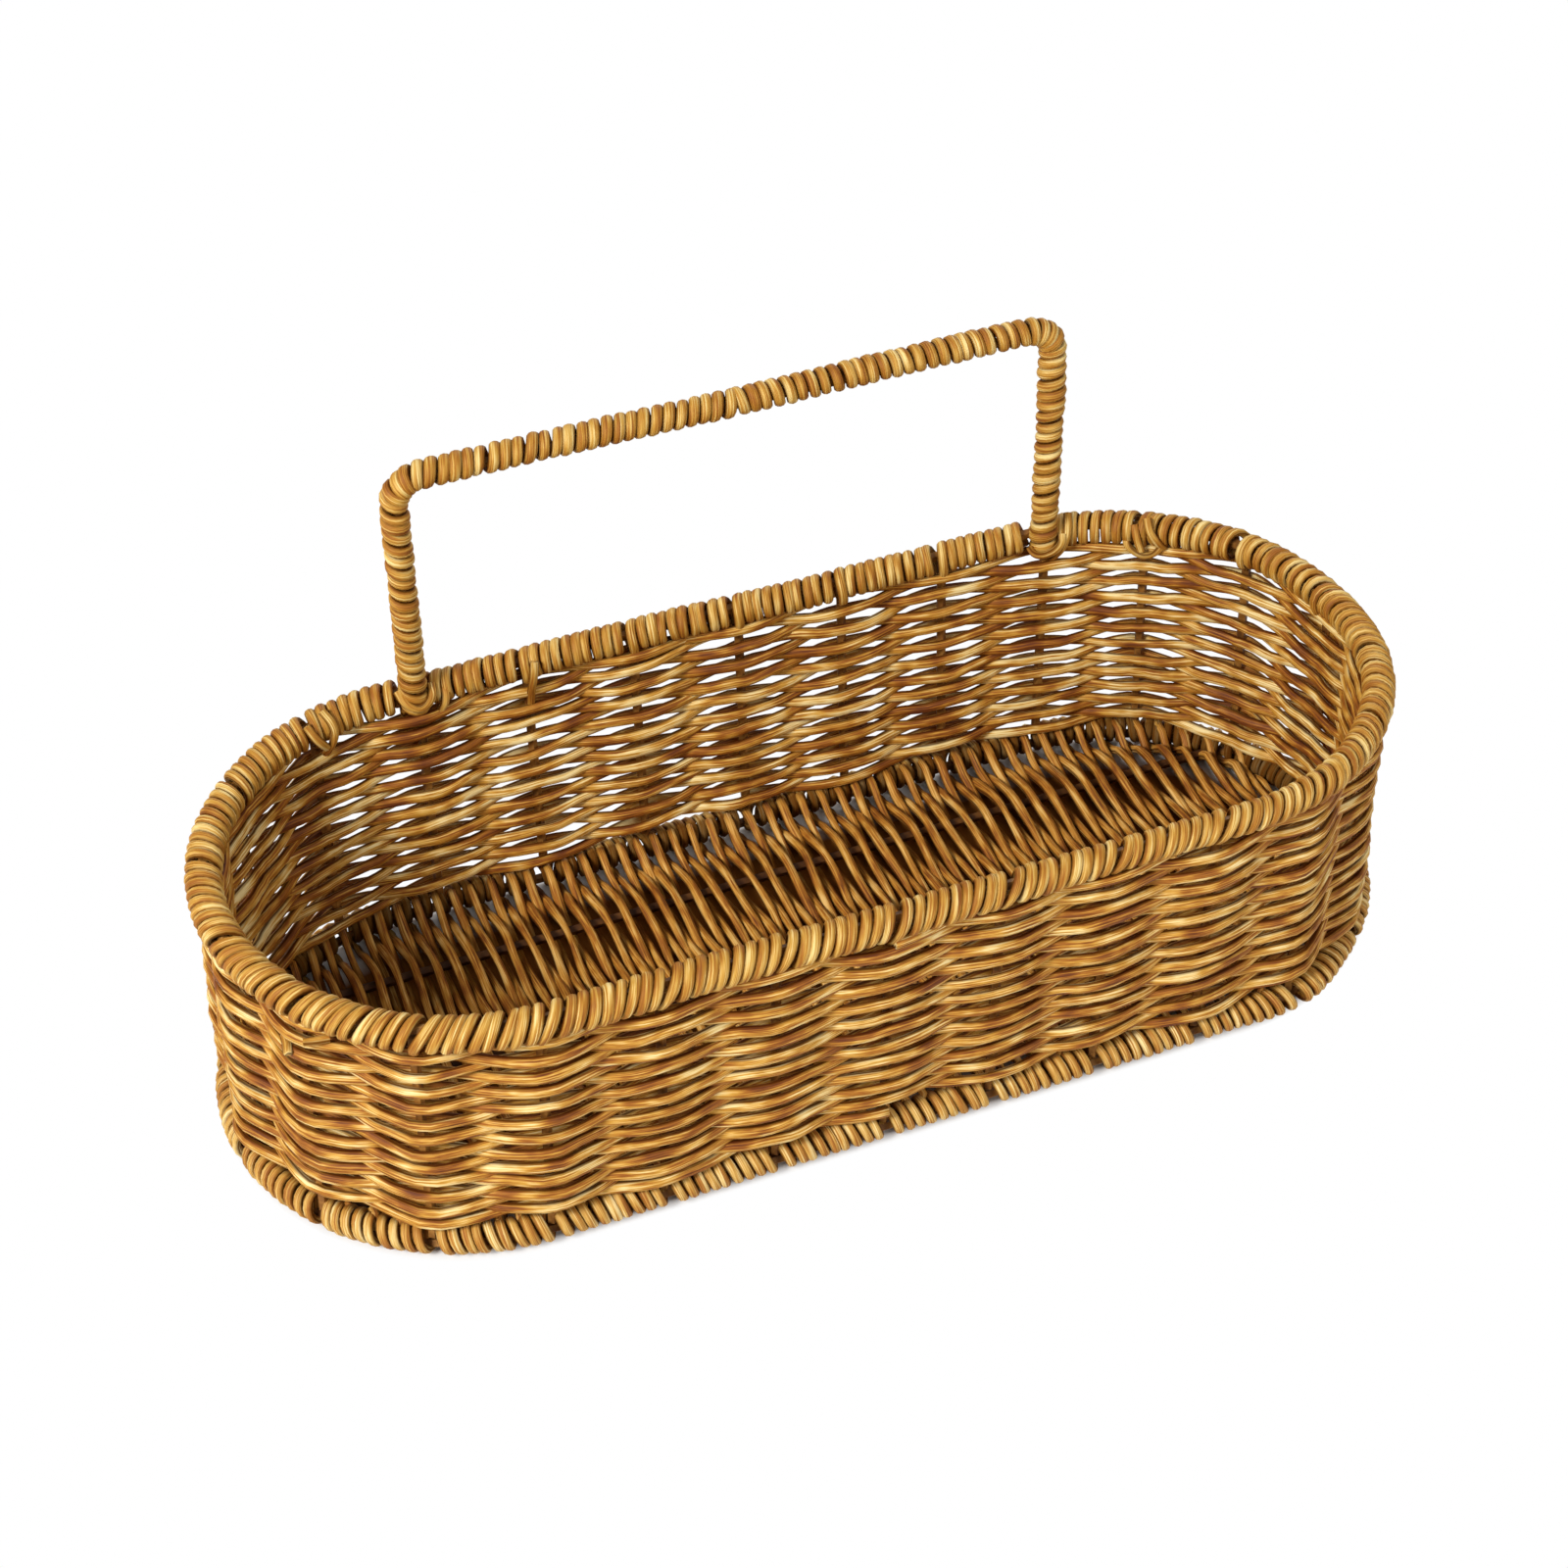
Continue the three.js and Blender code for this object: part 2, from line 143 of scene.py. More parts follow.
# %% Stakes
STAKES = 26
SPAN = 6  # stake spaces between the handle's posts
LEFT_POST, RIGHT_POST = STAKES - SPAN // 2, SPAN // 2  # the stakes that the handle's wire makes
post_ring = Ring(rim.straight, base.radius, rim.height)
handle_low, handle_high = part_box("handle_wire")
handle_middle = (handle_low[0] + handle_high[0]) / 2
handle_width = handle_high[0] - handle_low[0] - 2 * WIRE


def stake_distance(ring, spaces):
    """How far round an oval a stake stands. Between the posts they are a little wider apart."""
    from_post = (spaces + SPAN / 2) % STAKES
    beyond = max(from_post - SPAN, 0) / (STAKES - SPAN)
    return (handle_middle + handle_width * (min(from_post, SPAN) / SPAN - 0.5)
            + beyond * (perimeter(ring) - handle_width))


def stake_place(ring, spaces):
    return oval(ring, stake_distance(ring, spaces))


Stake = namedtuple("Stake", "foot top out")
stakes = []
for number in range(STAKES):
    foot, out = stake_place(base, number)
    top, _ = stake_place(post_ring if number in (LEFT_POST, RIGHT_POST) else rim, number)
    stakes.append(Stake(foot, top, out))


def on_stake(stake, height):
    return stake.foot.lerp(stake.top, (height - stake.foot.z) / (stake.top.z - stake.foot.z))


print(f"stakes: {STAKES}, {handle_width / SPAN / MM:.1f} mm apart between the posts")

# %% [markdown]
# Cane is a long round strip, and every cane here follows a route of its own. Blender could bevel
# a curve, but then nothing controls which way the cane's wide side looks. So each cane starts as
# a flat grid, one column of points for each step of its route, and the grid is rolled up round
# the route. The operator makes the faces, and only the points are moved. The UV map holds metres
# along the cane and the share of the way round it, which the finish will read.

# %% Rolling a cane round a route
Step = namedtuple("Step", "point crown size")  # crown: the way that the cane's rounded face looks


def roll(bm, route, width, thickness, sides):
    """Adds a cane of an oval section along a route. Its crowns are made square to the route."""
    steps = len(route) - 1
    uv = bm.loops.layers.uv.verify()
    verts = bmesh.ops.create_grid(bm, x_segments=steps, y_segments=sides, size=1)["verts"]
    travelled = [0.0]
    for before, after in zip(route, route[1:]):
        travelled.append(travelled[-1] + (after.point - before.point).length)
    frames = []
    for i, step in enumerate(route):
        along = (route[min(i + 1, steps)].point - route[max(i - 1, 0)].point).normalized()
        side = along.cross(step.crown).normalized()
        frames.append((side.cross(along), side))
    start = chance.random()
    faces = {face for vert in verts for face in vert.link_faces}
    for face in faces:
        for loop in face.loops:
            column = round((loop.vert.co.x + 1) / 2 * steps)
            row = round((loop.vert.co.y + 1) / 2 * sides)
            loop[uv].uv = (start + travelled[column], row / sides)
        face.smooth = True
    for vert in verts:
        column = round((vert.co.x + 1) / 2 * steps)
        row = round((vert.co.y + 1) / 2 * sides) % sides
        angle = 2 * math.pi * row / sides
        crown, side = frames[column]
        size = route[column].size
        vert.co = (route[column].point + crown * (thickness / 2 * size * math.cos(angle))
                   + side * (width / 2 * size * math.sin(angle)))
    bmesh.ops.remove_doubles(bm, verts=verts, dist=0.001 * MM)
    print(f"a cane {travelled[-1]:.2f} m long")


# %% [markdown]
# One or more canes make a finished piece. Their open ends are closed, so that no cane looks like
# a hose, and the faces are turned outwards. Those are then hidden.

# %% Finishing a piece
def finish_piece(name, bm, slot, *nodes):
    """Makes the object of one or more canes, which rides on the basket and stands for some nodes."""
    ends = [edge for edge in bm.edges if edge.is_boundary]
    bmesh.ops.holes_fill(bm, edges=ends)
    bmesh.ops.recalc_face_normals(bm, faces=bm.faces)
    mesh = bpy.data.meshes.new(name)
    bm.to_mesh(mesh)
    bm.free()
    mesh.uv_layers[0].name = "cane"
    piece = bpy.data.objects.new(name, mesh)
    bpy.context.scene.collection.objects.link(piece)
    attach(piece, "root")
    if nodes:
        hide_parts(*nodes)
    print(f"{name}: {sum(len(p.vertices) - 2 for p in mesh.polygons)} triangles")
    return piece


# %% [markdown]
# No length of cane is even, and no hand lays it evenly. Smooth noise gives that unevenness. It
# follows from the place alone, so every run of the script makes the same basket.

# %% Unevenness
def wander(point, patch, seed):
    """A number mostly between -1 and 1 that changes smoothly over patches."""
    return 2 * noise.noise(point / patch + Vector((seed * 7.3, seed * 3.1, seed * 5.7)))


print("noise every 5 mm:", [round(wander(Vector((i * 5 * MM, 0, 0)), 20 * MM, 1), 2) for i in range(6)])

# %% [markdown]
# Cane is stiff. On the round ends it doesn't follow the oval but runs nearly straight from one
# stake to the next, with a soft corner at each. So the wall's middle is taken between the two
# stakes of a space, at any height, with only a little of the oval's bulge left.

# %% Wall between the stakes
STEPS_PER_SPACE = 12
CHORD_SHARE = 0.85  # how much of the way from the round oval to the straight chord
CORNER = 1 / STEPS_PER_SPACE  # how far the corners at the stakes are eased


def chord_at(spaces, height):
    """A place near the straight chord from stake to stake, and the way out there."""
    before = stakes[math.floor(spaces) % STAKES]
    after = stakes[(math.floor(spaces) + 1) % STAKES]
    share = spaces % 1
    out = before.out.lerp(after.out, share).normalized()
    along_side = before.out.dot(after.out) ** 8  # 1 on the straight sides, and less on the ends
    bulge = (before.foot - after.foot).length ** 2 / (8 * base.radius) * (1 - along_side)
    chord = on_stake(before, height).lerp(on_stake(after, height), share)
    return chord + out * (bulge * (1 - CHORD_SHARE) * 4 * share * (1 - share)), out


def wall_at(spaces, height):
    """The wall's middle and the way out, taken between two places near by to round the corners."""
    left, left_out = chord_at(spaces - CORNER, height)
    right, right_out = chord_at(spaces + CORNER, height)
    return left.lerp(right, 0.5), (left_out + right_out).normalized()


print("wall half way along space 5:", [round(v / MM, 1) for v in wall_at(5.5, base.height)[0]], "mm")

# %% [markdown]
# The wall is woven with two canes. With an even number of stakes, a single cane would pass each
# stake on the same side in every round. So two canes chase each other, starting half a round
# apart, and one passes outside the stakes that the other passes inside. At the foot and at the
# top the rows lie level, and each cane steps up where it meets the other's start. In between they
# climb evenly.

# %% Rows of the wall
ROUNDS = 12  # of each cane
ROWS = 2 * ROUNDS
STEP_UP = 0.15  # the part of half a round in which a cane steps up to the next row
LEVEL_ROUNDS = 3  # rounds at the foot and at the top in which level rows go over into even ones


def ease(share):
    """A share from 0 to 1 that starts and ends gently."""
    share = min(max(share, 0.0), 1.0)
    return share * share * (3 - 2 * share)


def rows_below(rounds):
    """How many rows a cane lies on: in steps near the foot and the top, and evenly between."""
    climb = 2 * rounds
    stepped = math.floor(climb) + ease((climb % 1 - (1 - STEP_UP)) / STEP_UP)
    near_end = max(1 - rounds / LEVEL_ROUNDS, 1 - (ROUNDS - rounds) / LEVEL_ROUNDS, 0)
    return min(climb + (stepped - climb) * near_end, ROWS - 1)


print("rows climbed after 0 to 3 rounds:", [round(rows_below(i / 2), 2) for i in range(7)])

# %% [markdown]
# A pass swings out round one stake and in round the next, by half the wire and half the cane. As
# in the photograph, the rows lie closer together at the foot than at the top, and a little higher
# round the left front corner. No two passes are alike, so each place gets a little noise in
# height, depth and thickness.

# %% Woven wall
CANE_HIGH = 3.45 * MM
CANE_DEEP = 2.9 * MM
CROWDING = 0.12  # how much closer the rows lie at the foot, and wider at the top
FIRST_ROW = 11.4 * MM
LAST_ROW = 77.2 * MM
CORNER_LIFT = 1.7 * MM  # how much higher the foot rows lie round the left front corner
LEFT_FRONT = Vector((-0.6, -0.8, 0))
SWING = WIRE + CANE_DEEP / 2
SWING_PLAY = 0.14  # the plays are how far a value strays by hand
DEPTH_PLAY = 0.25 * MM
RISE_PLAY = 0.5 * MM
FINE_RISE_PLAY = 0.3 * MM
THICKNESS_PLAY = 0.12
ROUNDS_APART = 9 * MM  # between the heights at which two rounds read the noise
WEAVERS_APART = 0.3


def wall_route(weaver):
    """The whole way of one cane, round and up the wall."""
    route = []
    first = weaver * STAKES // 2
    for i in range(ROUNDS * STAKES * STEPS_PER_SPACE + 1):
        spaces = first + i / STEPS_PER_SPACE
        row = rows_below((spaces - first) / STAKES)
        share = row / (ROWS - 1)
        share -= CROWDING * share * (1 - share)
        corner = max(wall_at(spaces, FIRST_ROW)[1].dot(LEFT_FRONT), 0) ** 3
        lift = CORNER_LIFT * corner * (1 - share) ** 2
        point, out = wall_at(spaces, FIRST_ROW + lift + (LAST_ROW - FIRST_ROW) * share)
        # Each round and each cane reads the noise at a height of its own, so that they differ.
        place = point + Vector((0, 0, spaces // STAKES * ROUNDS_APART + weaver * WEAVERS_APART))
        swing = SWING * math.cos(math.pi * (spaces + weaver))
        swing *= 1 + SWING_PLAY * wander(place, 30 * MM, 1)
        point += out * (swing + DEPTH_PLAY * wander(place, 12 * MM, 9))
        rise = RISE_PLAY * wander(place, 24 * MM, 2) + FINE_RISE_PLAY * wander(place, 9 * MM, 15)
        point.z += min(row, ROWS - 1 - row, 1) * rise
        route.append(Step(point, out, 1 + THICKNESS_PLAY * wander(place, 35 * MM, 3)))
    return route


wall_canes = []
for weaver in (0, 1):
    bm = bmesh.new()
    roll(bm, wall_route(weaver), CANE_HIGH, CANE_DEEP, 10)
    wall_canes.append(finish_piece(
        f"wall_cane_{weaver + 1}", bm, "weaving_cane", f"wall_weaver_{weaver + 1}"))

# %% [markdown]
# A lapping is a helix of cane round a wire. The cane's own section is a low oval, and its turns
# lie side by side. The lean of the turns tells which way round the maker worked: on the rim and
# the handle they climb to the right, on the base to the left. One function winds any of them,
# given functions for the frame that it is wound on, the way it travels and its size.

# %% Winding a lapping
LAP_STEPS = 14
LAP_WIDTH = 3.1 * MM
LAP_THICKNESS = 2.4 * MM
PLACE_PLAY = 0.9 * MM  # the plays are how far one turn differs from another
LEAN_PLAY = 0.5
REACH_PLAY = 0.07
WIDTH_PLAY = 0.16


def turn_noise(turn, pace, seed, row):
    """Smooth noise along the turns, which changes faster with a greater pace."""
    return noise.noise(Vector((turn * pace, seed, row)))


def lapping_route(frame_at, travel, first, last, hand, section, lean, lean_at, seed, phase):
    """A helix from one turn to another. frame_at(distance) gives the middle, the way out and up,
    travel(turn) the distance along, and section(turn, distance, angle) the size out and up. The
    turns lean forward by lean at the angle lean_at, and phase is the angle of a whole turn."""
    route = []
    for i in range(round((last - first) * LAP_STEPS) + 1):
        turn = first + i / LAP_STEPS
        angle = hand * 2 * math.pi * turn + phase
        loose = PLACE_PLAY * turn_noise(turn, 0.9, seed * 11.3, 0)
        slant = lean * (1 + LEAN_PLAY * turn_noise(turn, 0.6, seed * 4.7, 5))
        distance = travel(turn) + loose + slant * math.cos(angle - lean_at)
        middle, out, up = frame_at(distance)
        reach_out, reach_up = section(turn, distance, angle)
        swell = 1 + REACH_PLAY * turn_noise(turn, 1.7, seed * 5.1, 3)
        across = (reach_out * swell - LAP_THICKNESS / 2) * math.cos(angle)
        upward = (reach_up * swell - LAP_THICKNESS / 2) * math.sin(angle)
        crown = out * (math.cos(angle) / reach_out) + up * (math.sin(angle) / reach_up)
        size = 1 + WIDTH_PLAY * turn_noise(turn, 0.7, seed * 2.3, 7)
        route.append(Step(middle + out * across + up * upward, crown.normalized(), size))
    return route


print(f"lapping cane: {LAP_WIDTH / MM:.1f} mm wide, {LAP_STEPS} steps to a turn")

# %% [markdown]
# The rim's lapping goes round the rim wire. Each turn leans more than a plain helix would, because
# the maker pulls it forward over the top. Just before each stake a gap shows the wire. The lapping
# stops short of each handle post and starts again on its other side, so it is wound in two runs.

# %% Turns along the rim
RimRun = namedtuple("RimRun", "first last laps size")  # laps: turns in each stake space
RIM_RUNS = (RimRun(LEFT_POST - STAKES, RIGHT_POST, 10, 4.9 * MM),
            RimRun(RIGHT_POST, LEFT_POST, 9, 5.25 * MM))
RIM_DROP = 0.9 * MM  # how far the lapping sags below its wire
RIM_RISE_PLAY = 0.45 * MM
RIM_DEPTH_PLAY = 0.35 * MM
RIM_GAP = 1.5 * MM
GAP_START = 0.75  # turns before the stake at which the step across the gap starts
GAP_TURNS = 0.5  # how long it takes


def rim_frame(distance):
    """The middle of the rim's lapping, the way out and the way up."""
    middle, out = oval(rim, distance)
    middle.z += RIM_RISE_PLAY * wander(middle, 60 * MM, 4) - RIM_DROP
    middle += out * (RIM_DEPTH_PLAY * wander(middle, 45 * MM, 8))
    return middle, out, UP


def rim_travel(turn, run):
    """Even turns from stake to stake. A quick step just before each stake leaves the gap."""
    space, lap = divmod(turn, run.laps)
    start = stake_distance(rim, space)
    wide = (stake_distance(rim, space + 1) - start) % perimeter(rim)
    across = ease((lap - run.laps + GAP_START) / GAP_TURNS)
    return start + lap * (wide - RIM_GAP) / run.laps + RIM_GAP * across


print("room for turns round the rim:", sum((run.last - run.first) * run.laps for run in RIM_RUNS))

# %% [markdown]
# At each stake one turn dips on the inner side, round the stake's top, and binds it to the rim. It
# is the same helix, whose size grows for part of that turn, because a separate loop of cane would
# cross the turns beside it. Toward the front right the real rim is a little slimmer.

# %% Rim lapping
POST_TURNS = 1.3  # turns left out beside a post
LEAN = 1.4 * MM
LEAN_AT = math.radians(135)  # how far round from the outer side the turns lean most
DIP = 2.0 * MM
DIP_PLAY = 1.2 * MM
DIP_INWARD = 0.3  # how much of the dip goes inward
DIP_BEFORE = 0.18  # turns before the stake at which the dip is deepest
DIP_TURNS = 0.25  # how far it reaches each way
SLIMMER = 0.7 * MM  # how much slimmer the rim is at the front right
SLIMMEST_AT = 70 * MM  # how far right of the middle it is slimmest


def rim_section(turn, distance, run):
    """Round, with a dip down and inward at each stake, and slimmer at the front right."""
    number = round(turn / run.laps)
    dip = DIP + DIP_PLAY * wander(stakes[number % STAKES].top, 20 * MM, 13)
    dip *= ease(1 - abs(turn - number * run.laps + DIP_BEFORE) / DIP_TURNS)
    middle, out = oval(rim, distance)
    size = run.size - SLIMMER * max(-out.y, 0) * ease(middle.x / SLIMMEST_AT)
    return size + DIP_INWARD * dip, size + dip


bm = bmesh.new()
for run in RIM_RUNS:
    route = lapping_route(
        rim_frame, lambda turn: rim_travel(turn, run), run.first * run.laps + POST_TURNS,
        run.last * run.laps - POST_TURNS, -1, lambda turn, distance, _: rim_section(turn, distance, run),
        lean=-LEAN, lean_at=LEAN_AT, seed=run.laps, phase=math.pi)
    roll(bm, route, LAP_WIDTH, LAP_THICKNESS, 10)
rim_lapping = finish_piece("rim_lapping", bm, "lapping_cane", "rim_wrap")

# %% [markdown]
# The handle is one wire bent at two corners. Its lapping is wound along that wire's line: up one
# post, round a bend, along the bar and down again. The right half mirrors the left one. Both
# posts stand a little further left than their wires do, as in the photograph.

# %% The handle's line
HANDLE_BEND = 8 * MM
HANDLE_FOOT = 78.5 * MM  # height at which the lapping starts, just under the rim
BOW = 0.5 * MM  # how far the posts and the bar bend by hand
BAR_LIFT = 0.9 * MM  # how much higher the bar lies than its wire
LEFT_SHIFT = Vector((-1.4, 0, 0)) * MM  # from a post's wire to the middle of its lapping
RIGHT_SHIFT = Vector((-0.3, 0, 0)) * MM
left_foot = stakes[LEFT_POST].top + LEFT_SHIFT
right_foot = stakes[RIGHT_POST].top + RIGHT_SHIFT
bar_height = handle_high[2] - WIRE + BAR_LIFT
rise = bar_height - HANDLE_BEND - HANDLE_FOOT
bar = right_foot.x - left_foot.x - 2 * HANDLE_BEND
quarter = math.pi / 2 * HANDLE_BEND
handle_length = 2 * rise + 2 * quarter + bar


def handle_frame(distance):
    """A point on the handle's middle line, its back side, and the third way square to both."""
    if distance > handle_length / 2:
        point, out, up = handle_frame(handle_length - distance)
        point.x = left_foot.x + right_foot.x - point.x
        up = Vector((up.x, -up.y, -up.z))
        return point, out, up
    x, z, turn = left_foot.x, HANDLE_FOOT + distance, 0.0
    if distance > rise + quarter:
        turn = math.pi / 2
        x += HANDLE_BEND + distance - rise - quarter
        z = bar_height
    elif distance > rise:
        turn = (distance - rise) / HANDLE_BEND
        x += HANDLE_BEND * (1 - math.cos(turn))
        z = HANDLE_FOOT + rise + HANDLE_BEND * math.sin(turn)
    along = Vector((math.sin(turn), 0, math.cos(turn)))
    out = Vector((0, 1, 0))
    point = Vector((x, left_foot.y + BOW * wander(Vector((x, 0, z)), 60 * MM, 12), z))
    return point, out, along.cross(out)


print(f"lapped length of the handle: {handle_length:.3f} m")

# %% [markdown]
# The same lapping as the rim's runs the whole way, in slightly wider cane. Turns crowd together on
# the inner side of a bend, so there are more of them there. At the rim the lapping also takes in
# the rim's wire behind the post, so its turns are fuller at the back.

# %% Handle lapping
HANDLE_PITCH = 3.65 * MM
BEND_CROWDING = 0.72  # how much closer the turns lie in a bend
HANDLE_SIZE = 4.25 * MM
FOOT_FULLNESS = 2.6 * MM  # how much further back the lapping reaches behind the rim's wire
FOOT_SPREAD = 4.5 * MM  # how far above and below the rim's wire it does
HANDLE_LAP_WIDTH = LAP_WIDTH * 1.1
HANDLE_LEAN = 0.5 * MM


def handle_section(turn, distance, angle):
    """Round, but fuller at the back where it takes in the rim's wire."""
    height = handle_frame(distance)[0].z
    at_rim = math.exp(-((height - rim.height) / FOOT_SPREAD) ** 2)
    return HANDLE_SIZE + FOOT_FULLNESS * at_rim * max(math.cos(angle), 0), HANDLE_SIZE


bend_pitch = HANDLE_PITCH * BEND_CROWDING
stretches = (rise, quarter, bar, quarter, rise)
pitches = (HANDLE_PITCH, bend_pitch, HANDLE_PITCH, bend_pitch, HANDLE_PITCH)
stretch_turns = [length / pitch for length, pitch in zip(stretches, pitches)]


def handle_travel(turn):
    """The distance along the handle, stretch by stretch."""
    distance = 0.0
    for turns, length in zip(stretch_turns, stretches):
        share = min(turn / turns, 1.0)
        distance += length * share
        turn -= turns * share
    return distance


bm = bmesh.new()
route = lapping_route(
    handle_frame, handle_travel, 0, sum(stretch_turns), -1, handle_section,
    lean=-HANDLE_LEAN, lean_at=math.pi, seed=5, phase=math.pi / 2)
roll(bm, route, HANDLE_LAP_WIDTH, LAP_THICKNESS, 10)
handle_lapping = finish_piece("handle_lapping", bm, "lapping_cane", "handle_wrap")
print("turns on the handle:", round(sum(stretch_turns)))

# %% [markdown]
# The base rim is lapped between the stakes. At each stake the cane steps across on the inner
# side, out of sight, so the outside shows a narrow dark break there. The lapping stands out a
# little further at the right front corner, as in the photograph.

# %% Base lapping
BASE_LAPS = 9
BASE_SIZE = 4.7 * MM
BASE_LAP_WIDTH = 2.95 * MM
STAKE_BREAK = 2.6 * MM
BREAK_TURNS = 0.3  # how long the step across a break takes before and after the stake
TABLE_ROOM = 0.55 * MM  # keeps the loosest turns above the table
BASE_OUT = 0.2 * MM
CORNER_OUT = 1.2 * MM  # how much further out the lapping stands at the right front corner
CORNER_FULLNESS = 0.9 * MM  # how much thicker it is there
BASE_LEAN = 0.7 * MM


def right_front(out):
    """1 where the front goes over into the right end, and 0 away from there."""
    middle, reach = 0.3, 0.35
    return ease(1 - abs(out.x - middle) / reach) if out.y < 0 else 0.0


def base_section(turn, distance, angle):
    """Round, and fuller on the outer side at the right front corner."""
    _, out = oval(base, distance)
    return BASE_SIZE + CORNER_FULLNESS * right_front(out) * max(math.cos(angle), 0), BASE_SIZE


def base_frame(distance):
    """The middle of the base lapping, the way out and the way up."""
    middle, out = oval(base, distance)
    middle += out * (BASE_OUT + CORNER_OUT * right_front(out))
    middle.z = BASE_SIZE + TABLE_ROOM
    return middle, out, UP


def base_travel(turn):
    """Even turns between the stakes, and a quick step across each stake on the inner side."""
    space, lap = divmod(turn, BASE_LAPS)
    start = stake_distance(base, space)
    wide = (stake_distance(base, space + 1) - start) % perimeter(base)
    after = min(lap / BREAK_TURNS, 1.0)
    before = max((lap - BASE_LAPS + BREAK_TURNS) / BREAK_TURNS, 0.0)
    return start + lap * (wide - STAKE_BREAK) / BASE_LAPS + STAKE_BREAK * (after + before) / 2


bm = bmesh.new()
route = lapping_route(
    base_frame, base_travel, 0, STAKES * BASE_LAPS, 1, base_section,
    lean=BASE_LEAN, lean_at=math.pi / 2, seed=9, phase=math.pi)
roll(bm, route, BASE_LAP_WIDTH, LAP_THICKNESS, 8)
base_lapping = finish_piece("base_lapping", bm, "lapping_cane", "base_wrap")

# %% [markdown]
# The base is woven across three ribs. Each cane goes over one rib and under the next. One pass
# ends high, over the base rim's wire, where a real cane turns round it, and the next comes back
# low, under it. So near the wall every second cane lies high and the others are in the dark.

# %% Height of the base cane
BASE_CANE = 2.75 * MM
RIBS = [f"base_rib_{i + 1}" for i in range(3)]
rib_lines = [sum(corner[1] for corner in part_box(node)) / 2 for node in RIBS]
rib_height = sum(corner[2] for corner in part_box(RIBS[0])) / 2
BASE_SWING = WIRE + BASE_CANE / 2
POINTEDNESS = 0.93
OVER_RIM = 8.9 * MM  # height of the end of a high pass
UNDER_RIM = 1.6 * MM
END_BEND = 8 * MM  # length over which an end rises or sinks


def rounded_zigzag(place):
    """1 at an even number, -1 at an odd one, and nearly straight between."""
    return math.asin(POINTEDNESS * math.cos(math.pi * place)) / math.asin(POINTEDNESS)


def base_height(y, reach, number):
    """The height of a pass: over and under the ribs, and over or under the base rim at its ends."""
    last = rib_lines[2]
    beyond = max(abs(y) - last, 0) / (base.radius - last)
    swing = rounded_zigzag(min(abs(y), last) / last + beyond + number)
    end = OVER_RIM if number % 2 == 0 else UNDER_RIM
    middle = rib_height + BASE_SWING * swing
    return middle + (end - middle) * ease((abs(y) - reach + END_BEND) / END_BEND)


print("ribs:", [round(line / MM, 1) for line in rib_lines], "mm from the middle")

# %% [markdown]
# One long cane makes all the passes, rolled along one route that turns at both sides. The passes
# lie square to the basket's length, but stray sideways and up and down by noise, and they get
# shorter round the two ends.

# %% Woven base
BASE_PITCH = 2.95 * MM
BASE_REACH = base.radius - 2 * MM
BASE_LOWEST = 1.7 * MM  # keeps the passes above the table
PASSES_LEFT_OUT = 2.5  # for which there is no room at a round end
TURNED_IN = 3 * MM  # how much earlier a low pass ends
BASE_STEP = 2.5 * MM  # from one point of the route to the next
TURN_SIZE = 0.8  # of the cane's thickness, where it turns from one pass to the next
SIDE_PLAY = 0.65 * MM
SLOW_SIDE_PLAY = 0.7 * MM
BASE_RISE_PLAY = 0.25 * MM
BASE_THICKNESS_PLAY = 0.18


def half_width(x, radius):
    """Half the width at x of an oval whose straight sides are as long as the base's."""
    beyond = max(abs(x) - base.straight / 2, 0)
    return math.sqrt(max(radius ** 2 - beyond ** 2, 0))


def base_route():
    """To and fro across the base. Between two passes the cane turns inside the base lapping."""
    outermost = int((base.straight / 2 + BASE_REACH) / BASE_PITCH - PASSES_LEFT_OUT)
    route = []
    for i in range(-outermost, outermost + 1):
        x = i * BASE_PITCH
        way = -1 if i % 2 else 1
        reach = half_width(x, BASE_REACH) - (0 if i % 2 == 0 else TURNED_IN)
        steps = max(int(reach * 2 / BASE_STEP), 6)
        for j in range(steps + 1):
            y = way * reach * (2 * j / steps - 1)
            point = Vector((x, y, base_height(y, reach, i)))
            place = Vector((x * 3, y, 0))  # stretched, so that neighbouring passes differ
            point.x += SIDE_PLAY * wander(place, 22 * MM, 6) + SLOW_SIDE_PLAY * wander(place, 60 * MM, 16)
            point.z = max(point.z + BASE_RISE_PLAY * wander(place, 30 * MM, 10), BASE_LOWEST)
            route.append(Step(point, UP, 1 + BASE_THICKNESS_PLAY * wander(place, 20 * MM, 7)))
        x += BASE_PITCH / 2
        turn = Vector((x, way * half_width(x, base.radius), base.height))
        route.append(Step(turn, Vector((0, way, 0)), TURN_SIZE))
    return route[:-1]


bm = bmesh.new()
roll(bm, base_route(), BASE_CANE, BASE_CANE, 8)
base_cane = finish_piece("base_cane", bm, "weaving_cane", "base_weaver")

# %% [markdown]
# Some ends of cane are laid by hand: the knots just outside the handle, the turns that close the
# handle's feet, a tail that runs down one stake, and two ends that stick out of the wall. Each is
# a short strand through a few places, told in millimetres from the rim's wire at a stake: along
# to the right as seen from inside, inward, and up.

